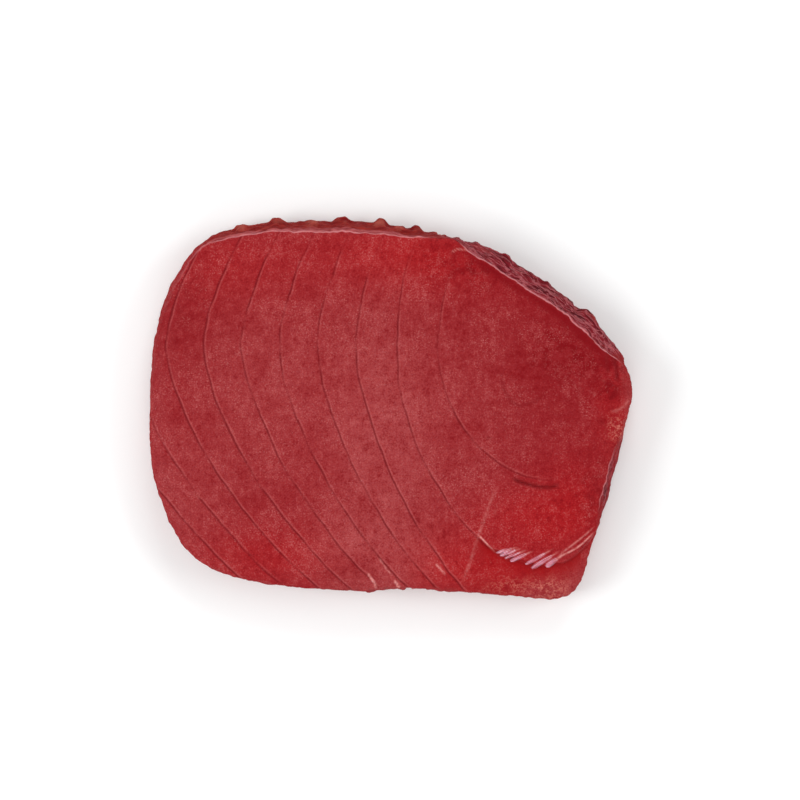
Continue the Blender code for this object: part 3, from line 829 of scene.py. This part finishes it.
    # walls: deep red flesh with tan crags, and a crumpled thin membrane on the leaning side
    blotch = wire.noise(wire.stretch(wallPlace, look["blotchStretch"]), 1.0, 4.0, 0.65, 0.8)
    crumple = abs(wire.noise(wire.stretch(wallPlace, look["crumpleStretch"]), 1.0, 3.0, 0.5, 1.2) - 0.5)
    threads = abs(wire.noise(wire.stretch(wallPlace, look["threadStretch"]), 1.0, 3.0) - 0.5).ramp(0.03, 0.0)
    wall = wire.tint(blotch.ramp(0.4, 0.65), look["wallFlesh"], look["wallTan"])
    wall = wire.tint(0.9 - wire.mark("backWall") * 0.9, wall, colour)
    tanShow = wire.mark("tip") * 0.65 + (blotch - 0.5) * 3.0 + (mottle - 0.5) * 1.6 + (grain - 0.5) * 1.4
    wall = wire.tint(tanShow.ramp(0.2, 1.6) * wire.mark("backWall") * 0.4, wall, look["tip"])
    topShow = (wire.mark("tip") * unrolled.ramp(9.5, 6.5) * 1.2 + (mottle - 0.5) * 0.9).ramp(0.2, 1.0)
    wall = wire.tint(topShow * wire.mark("backWall") * 0.35, wall, look["cragTop"])
    skin = wire.tint(blotch.ramp(0.4, 0.58), look["membraneDark"], look["membrane"])
    # pale on the crumple crests and threads: the membrane's pale threads, partly painted sheen
    skin = wire.tint(crumple.ramp(0.06, 0.0) * (0.2 + 0.7 * mottle), skin, look["membranePale"])
    skin = wire.tint(crumple.ramp(0.08, 0.22) * 0.4, skin, look["membraneDark"])
    skin = wire.tint(threads * 0.4, skin, look["membranePale"])
    patchy = wire.noise(place, look["skinPatchSize"], 5.0, 0.65)
    skinShow = (wire.mark("membrane") * 1.6 + (patchy - 0.5) * 3.2).ramp(0.1, 1.4)
    wall = wire.tint(skinShow, wall, skin)
    colour = wire.tint(wire.mark("rimShade") * (0.3 + mottle), colour, look["deep"])
    colour = wire.tint(onWall, colour, wall)
    rimLine = ragged.ramp(-0.6, 0.0) * (ragged - wire.mark("rimDepth")).ramp(0.0, -1.2)
    rimLine = rimLine * wire.mark("leanShow")
    colour = wire.tint(rimLine * (0.25 + blotch.ramp(0.35, 0.62) * 0.5), colour, look["rim"])
    # thin pale line on the crest of the rim: pale tissue with painted highlight
    crestPaleAndHighlight = abs(ragged - 0.15).ramp(0.55, 0.1) * wire.mark("leanShow")
    colour = wire.tint(crestPaleAndHighlight * (0.35 + 0.6 * mottle), colour, look["crestPaleAndHighlight"])
    wire.tree.links.new(colour.socket, shader.inputs["Base Color"])

    # moist satin with small wet spots
    rough = look["roughness"] + (mottle - 0.5) * 0.25 + (grain - 0.5) * 0.2 - flake * 0.16 + onWall * 0.35
    wire.tree.links.new(rough.socket, shader.inputs["Roughness"])
    relief = mottle * 0.4 + grain * 0.4 + onWall * (blotch - crumple * 2.0) * 1.6 - crease * 0.4
    bumpInputs = {"Height": relief, "Strength": 0.5, "Distance": look["bumpHeight"] * mm}
    bump = wire.add("ShaderNodeBump", {}, bumpInputs)
    wire.tree.links.new(bump.socket, shader.inputs["Normal"])
    shader.inputs["IOR"].default_value = look["ior"]
    shader.inputs["Subsurface Weight"].default_value = look["subsurface"]
    shader.inputs["Subsurface Radius"].default_value = look["subsurfaceRadius"]
    shader.inputs["Subsurface Scale"].default_value = look["subsurfaceDepth"] * mm
    shader.inputs["Specular IOR Level"].default_value = look["specular"]
    return material


def makeSteak():
    mesh = gridSlab()
    flat = np.empty(len(mesh.vertices) * 3)
    mesh.vertices.foreach_get("co", flat)
    points, marks, wallPlace = formSteak(flat.reshape(-1, 3) / mm)
    low, high = points.min(axis=0), points.max(axis=0)
    cadLow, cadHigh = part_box("tuna_steak")
    for axis in (0, 1):
        middle = 0.5 * (cadLow[axis] + cadHigh[axis]) / mm
        fit = min(1.0, (cadHigh[axis] - cadLow[axis]) / mm / (high[axis] - low[axis]))
        points[:, axis] = middle + fit * (points[:, axis] - 0.5 * (low[axis] + high[axis]))
    points[:, 2] = np.minimum(points[:, 2], cadHigh[2] / mm)
    mesh.vertices.foreach_set("co", (points * mm).ravel())
    for name, values in marks.items():
        mark = mesh.attributes.new(name, "FLOAT", "POINT")
        mark.data.foreach_set("value", values.astype(np.float32))
    mark = mesh.attributes.new("wallPlace", "FLOAT_VECTOR", "POINT")
    mark.data.foreach_set("vector", wallPlace.astype(np.float32).ravel())
    mesh.update()
    mesh.shade_smooth()
    mesh.name = "rawTunaSteak"
    steak = bpy.data.objects.new("rawTunaSteak", mesh)
    bpy.context.scene.collection.objects.link(steak)
    mesh.materials.append(fleshMaterial())
    print("steak made", len(mesh.polygons), "triangles")
    return steak


steak = makeSteak()
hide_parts("tuna_steak")
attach(steak, "root")

# Plain pale floor, soft studio light and a camera straight above
studio = {
    "floorSize": 3.0,       # metres
    "floorColour": (0.9, 0.91, 0.91, 1.0),
    "pixel": 0.2555,        # one pixel of the view on the steak
    "framePixels": 800,
    "frameMiddle": (2.3, 2.0),
    "cameraHeight": 0.9,    # metres
    "scaleHeight": 6.0,     # height where the pixel size holds
    "lights": (
        ("keyLight", (-0.75, -0.1, 0.7), 0.6, 5.0),
        ("backLight", (0.15, 0.8, 0.7), 0.6, 3.2),
        ("fillLight", (0.75, 0.1, 0.7), 0.6, 2.8),
        ("frontLight", (-0.1, -0.8, 0.7), 0.6, 2.4),
    ),
    "skyStrength": 0.52,
}


def makeFloor():
    bpy.ops.mesh.primitive_plane_add(size=studio["floorSize"], location=(0.0, 0.0, 0.0))
    floor = bpy.context.object
    floor.name = "floor"
    material = bpy.data.materials.new("paleFloor")
    material.use_nodes = True
    shader = material.node_tree.nodes["Principled BSDF"]
    shader.inputs["Base Color"].default_value = studio["floorColour"]
    shader.inputs["Roughness"].default_value = 0.7
    floor.data.materials.append(material)


def makeLights():
    for name, place, size, power in studio["lights"]:
        light = bpy.data.lights.new(name, "AREA")
        light.shape = "DISK"
        light.size = size
        light.energy = power
        lamp = bpy.data.objects.new(name, light)
        lamp.location = place
        lamp.rotation_euler = (-Vector(place)).to_track_quat("-Z", "Y").to_euler()
        bpy.context.scene.collection.objects.link(lamp)
    world = bpy.data.worlds.new("studioWorld")
    world.use_nodes = True
    background = world.node_tree.nodes["Background"]
    background.inputs["Color"].default_value = (1.0, 1.0, 1.0, 1.0)
    background.inputs["Strength"].default_value = studio["skyStrength"]
    bpy.context.scene.world = world
    bpy.context.scene.view_settings.view_transform = "Standard"


def makeCamera():
    camera = bpy.data.cameras.new("camera")
    viewWidth = studio["pixel"] * studio["framePixels"] * mm
    camera.sensor_width = 36.0
    camera.lens = camera.sensor_width * (studio["cameraHeight"] - studio["scaleHeight"] * mm) / viewWidth
    holder = bpy.data.objects.new("camera", camera)
    holder.location = (studio["frameMiddle"][0] * mm, studio["frameMiddle"][1] * mm, studio["cameraHeight"])
    bpy.context.scene.collection.objects.link(holder)
    bpy.context.scene.camera = holder


makeFloor()
makeLights()
makeCamera()
print("studio made")
